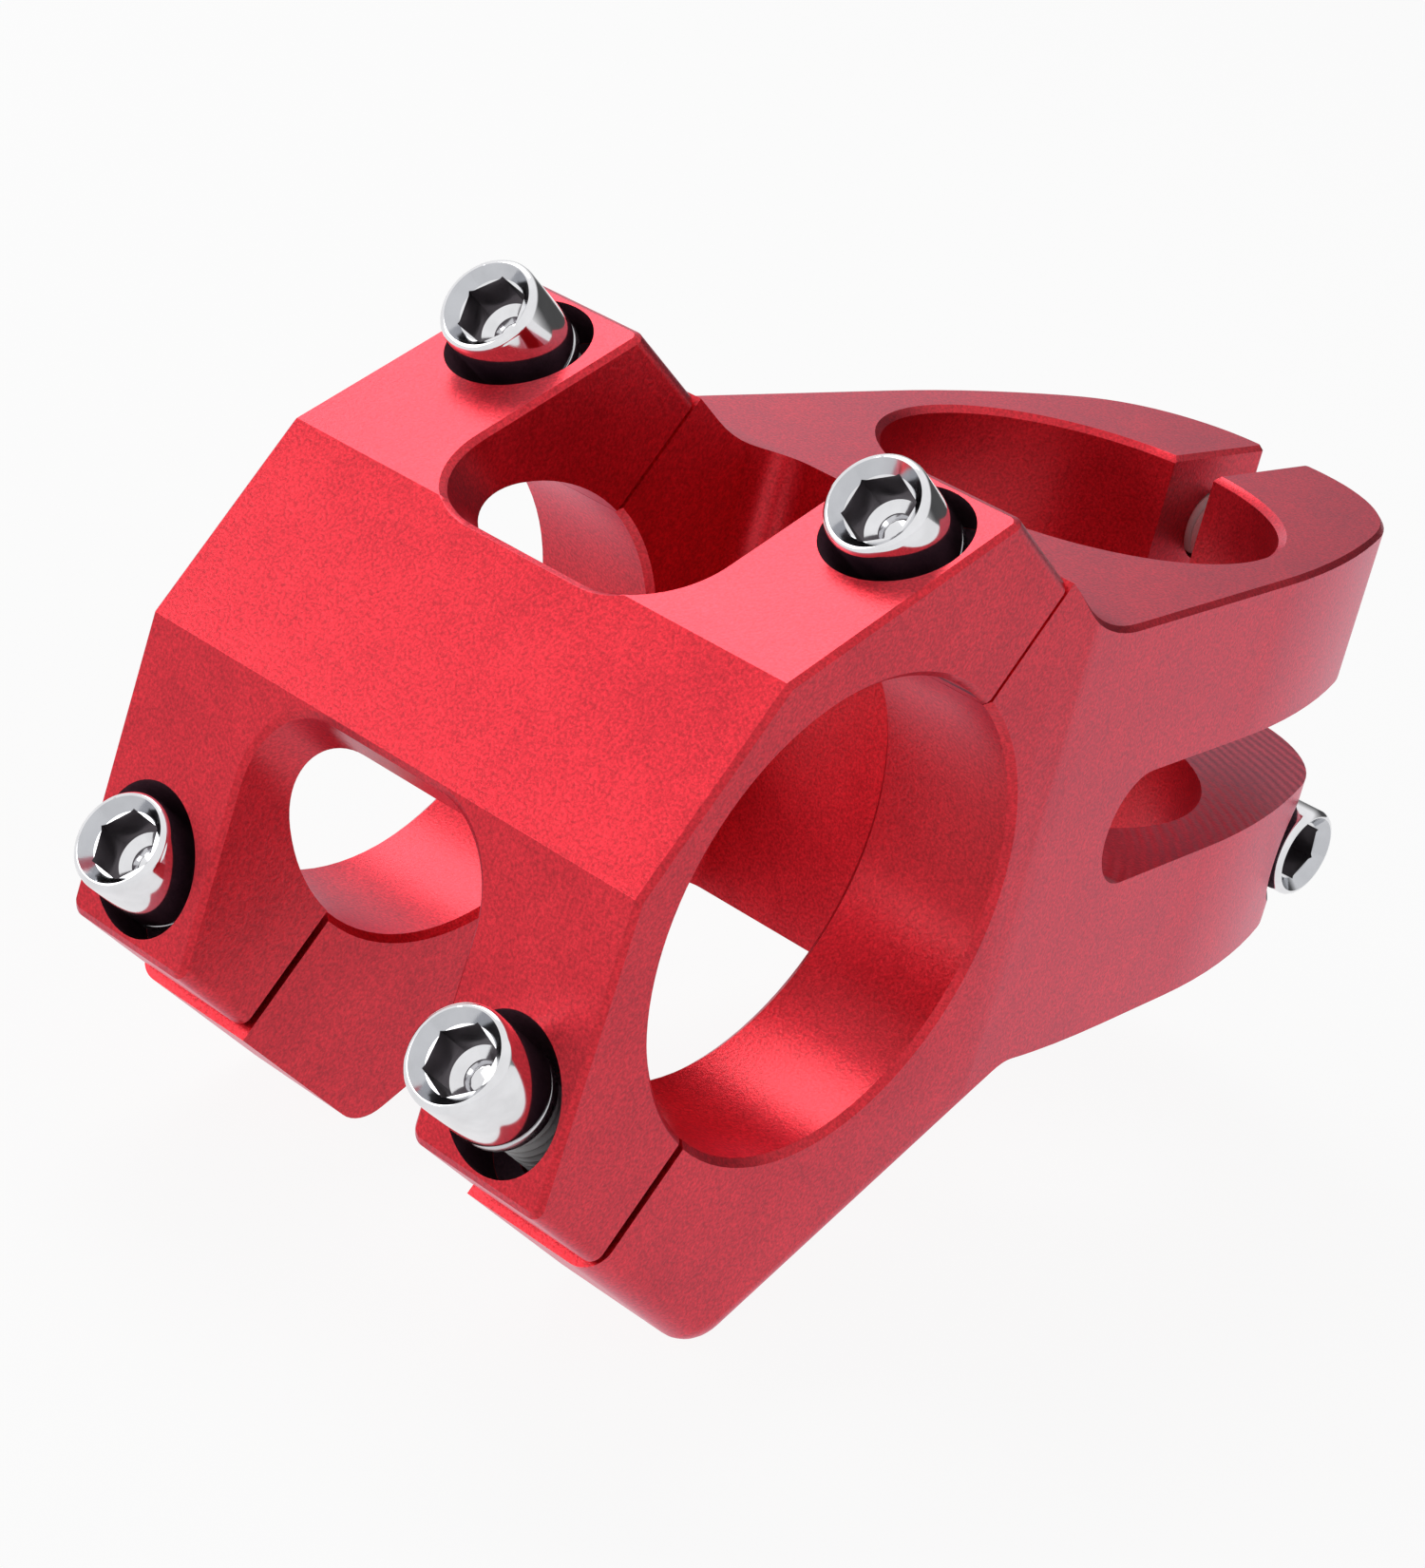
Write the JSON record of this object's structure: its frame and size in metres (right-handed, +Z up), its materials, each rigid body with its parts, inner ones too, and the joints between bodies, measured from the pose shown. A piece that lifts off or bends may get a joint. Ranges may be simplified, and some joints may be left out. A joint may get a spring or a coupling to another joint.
{
  "type": "handlebar stem",
  "caption": "Short machined bicycle stem with a split steerer clamp, a leaning faceted bar clamp plate with windows, and hex socket cap screws.",
  "frame": {"origin": "steerer axis, at the lower face of the steerer clamp", "axes": "+Z up along the steerer axis, +X forward to the handlebar, +Y to the rider's left, along the handlebar axis"},
  "size_m": [0.0989, 0.0422, 0.0574],
  "materials": {
    "anodised_red": "red anodised, fine bead-blasted satin",
    "screw_steel": "polished",
    "washer_steel": "satin"
  },
  "bodies": {
    "stem_body": {"stem_body": "anodised_red"},
    "face_plate": {"face_plate": "anodised_red"},
    "face_plate_washer_upper_left": {"face_plate_washer_upper_left": "washer_steel"},
    "face_plate_screw_upper_left": {"face_plate_screw_upper_left": "screw_steel"},
    "face_plate_washer_upper_right": {"face_plate_washer_upper_right": "washer_steel"},
    "face_plate_screw_upper_right": {"face_plate_screw_upper_right": "screw_steel"},
    "face_plate_washer_lower_left": {"face_plate_washer_lower_left": "washer_steel"},
    "face_plate_screw_lower_left": {"face_plate_screw_lower_left": "screw_steel"},
    "face_plate_washer_lower_right": {"face_plate_washer_lower_right": "washer_steel"},
    "face_plate_screw_lower_right": {"face_plate_screw_lower_right": "screw_steel"},
    "pinch_washer_lower": {"pinch_washer_lower": "washer_steel"},
    "pinch_screw_lower": {"pinch_screw_lower": "screw_steel"},
    "pinch_washer_upper": {"pinch_washer_upper": "washer_steel"},
    "pinch_screw_upper": {"pinch_screw_upper": "screw_steel"}
  },
  "joints": [
    {"name": "face_plate_slide", "type": "slide", "parent": "stem_body", "child": "face_plate", "axis": [0.8131, 0, 0.5821], "range_m": [0, 0.04]},
    {"name": "face_plate_screw_upper_left_advance", "type": "slide", "parent": "face_plate", "child": "face_plate_washer_upper_left", "axis": [0.8131, 0, 0.5821], "range_m": [-0.00458, 0.007]},
    {"name": "face_plate_screw_upper_left_turn", "type": "hinge", "parent": "face_plate_washer_upper_left", "child": "face_plate_screw_upper_left", "pos_m": [0.04072, 0.016, 0.03668], "axis": [0.8131, 0, 0.5821], "range_deg": [-2063, 3152]},
    {"name": "face_plate_screw_upper_right_advance", "type": "slide", "parent": "face_plate", "child": "face_plate_washer_upper_right", "axis": [0.8131, 0, 0.5821], "range_m": [-0.00558, 0.006]},
    {"name": "face_plate_screw_upper_right_turn", "type": "hinge", "parent": "face_plate_washer_upper_right", "child": "face_plate_screw_upper_right", "pos_m": [0.04153, -0.016, 0.03726], "axis": [0.8131, 0, 0.5821], "range_deg": [-2513, 2702]},
    {"name": "face_plate_screw_lower_left_advance", "type": "slide", "parent": "face_plate", "child": "face_plate_washer_lower_left", "axis": [0.8131, 0, 0.5821], "range_m": [-0.00708, 0.0045]},
    {"name": "face_plate_screw_lower_left_turn", "type": "hinge", "parent": "face_plate_washer_lower_left", "child": "face_plate_screw_lower_left", "pos_m": [0.06615, 0.016, 0.00545], "axis": [0.8131, 0, 0.5821], "range_deg": [-3188, 2027]},
    {"name": "face_plate_screw_lower_right_advance", "type": "slide", "parent": "face_plate", "child": "face_plate_washer_lower_right", "axis": [0.8131, 0, 0.5821], "range_m": [-0.00398, 0.0076]},
    {"name": "face_plate_screw_lower_right_turn", "type": "hinge", "parent": "face_plate_washer_lower_right", "child": "face_plate_screw_lower_right", "pos_m": [0.06363, -0.016, 0.00365], "axis": [0.8131, 0, 0.5821], "range_deg": [-1793, 3422]},
    {"name": "pinch_screw_lower_advance", "type": "slide", "parent": "stem_body", "child": "pinch_washer_lower", "axis": [0, 1, 0], "range_m": [-0.00198, 0.00385]},
    {"name": "pinch_screw_lower_turn", "type": "hinge", "parent": "pinch_washer_lower", "child": "pinch_screw_lower", "pos_m": [-0.021, 0.0084, 0.0058], "axis": [0, 1, 0], "range_deg": [-893, 1734.5]},
    {"name": "pinch_screw_upper_advance", "type": "slide", "parent": "stem_body", "child": "pinch_washer_upper", "axis": [0, -1, 0], "range_m": [-0.00198, 0.00385]},
    {"name": "pinch_screw_upper_turn", "type": "hinge", "parent": "pinch_washer_upper", "child": "pinch_screw_upper", "pos_m": [-0.021, -0.0084, 0.0256], "axis": [0, -1, 0], "range_deg": [-893, 1734.5]}
  ],
  "couplings": [
    {"joint": "face_plate_screw_upper_left_turn", "follows": "face_plate_screw_upper_left_advance", "rad_per_m": 7854},
    {"joint": "face_plate_screw_upper_right_turn", "follows": "face_plate_screw_upper_right_advance", "rad_per_m": 7854},
    {"joint": "face_plate_screw_lower_left_turn", "follows": "face_plate_screw_lower_left_advance", "rad_per_m": 7854},
    {"joint": "face_plate_screw_lower_right_turn", "follows": "face_plate_screw_lower_right_advance", "rad_per_m": 7854},
    {"joint": "pinch_screw_lower_turn", "follows": "pinch_screw_lower_advance", "rad_per_m": 7854},
    {"joint": "pinch_screw_upper_turn", "follows": "pinch_screw_upper_advance", "rad_per_m": 7854}
  ]
}
